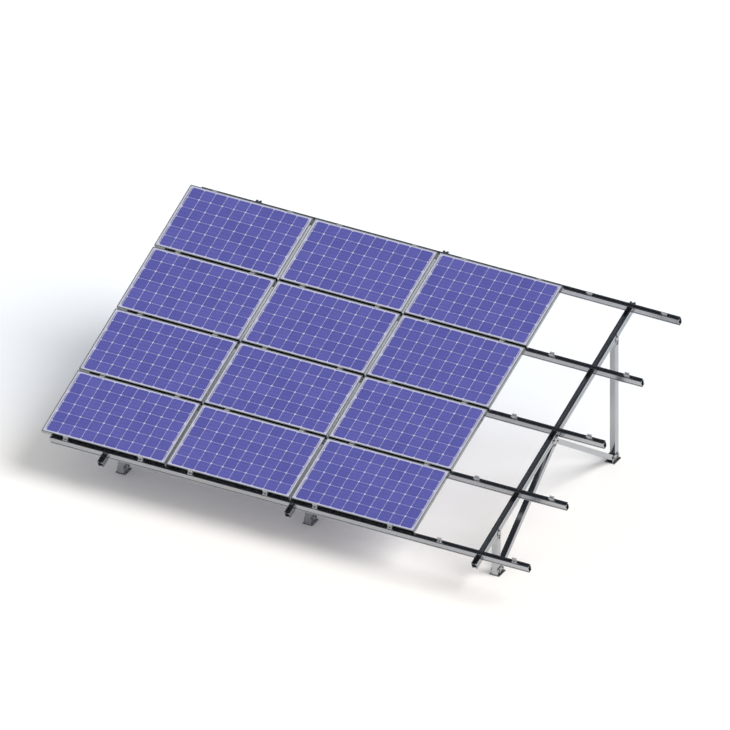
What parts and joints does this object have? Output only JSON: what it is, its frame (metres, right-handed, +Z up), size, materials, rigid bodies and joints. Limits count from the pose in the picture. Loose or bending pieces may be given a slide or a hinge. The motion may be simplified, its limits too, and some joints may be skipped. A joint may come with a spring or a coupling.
{
  "type": "solar panel ground mount",
  "caption": "Free-standing sloped aluminium ground mount on braced legs, with cross rails that carry framed photovoltaic modules and an open bay of bare rails.",
  "frame": {"origin": "on the ground, under the middle of the whole object's box", "axes": "+X along the rails towards the open bay, +Y towards the high rear edge, +Z up"},
  "size_m": [6.55, 4.083, 2.0006],
  "materials": {
    "structure_aluminium": "satin",
    "bracket_aluminium": "satin",
    "clamp_aluminium": "satin",
    "frame_aluminium": "anodised",
    "laminate": "glossy",
    "junction_box_plastic": "matte"
  },
  "bodies": {
    "root": {"braces_left": "structure_aluminium", "braces_middle": "structure_aluminium", "braces_right": "structure_aluminium", "end_clamps": "clamp_aluminium", "forks_left": "bracket_aluminium", "forks_middle": "bracket_aluminium", "forks_right": "bracket_aluminium", "front_foot_left": "bracket_aluminium", "front_foot_middle": "bracket_aluminium", "front_foot_right": "bracket_aluminium", "front_leg_left": "structure_aluminium", "front_leg_middle": "structure_aluminium", "front_leg_right": "structure_aluminium", "junction_boxes": "junction_box_plastic", "laminates_column_1": "laminate", "laminates_column_2": "laminate", "laminates_column_3": "laminate", "mid_clamps": "clamp_aluminium", "module_frame_r1_c1": "frame_aluminium", "module_frame_r1_c2": "frame_aluminium", "module_frame_r1_c3": "frame_aluminium", "module_frame_r2_c1": "frame_aluminium", "module_frame_r2_c2": "frame_aluminium", "module_frame_r2_c3": "frame_aluminium", "module_frame_r3_c1": "frame_aluminium", "module_frame_r3_c2": "frame_aluminium", "module_frame_r3_c3": "frame_aluminium", "module_frame_r4_c1": "frame_aluminium", "module_frame_r4_c2": "frame_aluminium", "module_frame_r4_c3": "frame_aluminium", "rafter_left": "structure_aluminium", "rafter_middle": "structure_aluminium", "rafter_right": "structure_aluminium", "rail_1": "structure_aluminium", "rail_2": "structure_aluminium", "rail_3": "structure_aluminium", "rail_4": "structure_aluminium", "rail_5": "structure_aluminium", "rail_clips": "bracket_aluminium", "rear_foot_left": "bracket_aluminium", "rear_foot_middle": "bracket_aluminium", "rear_foot_right": "bracket_aluminium", "rear_leg_left": "structure_aluminium", "rear_leg_middle": "structure_aluminium", "rear_leg_right": "structure_aluminium"}
  },
  "joints": []
}
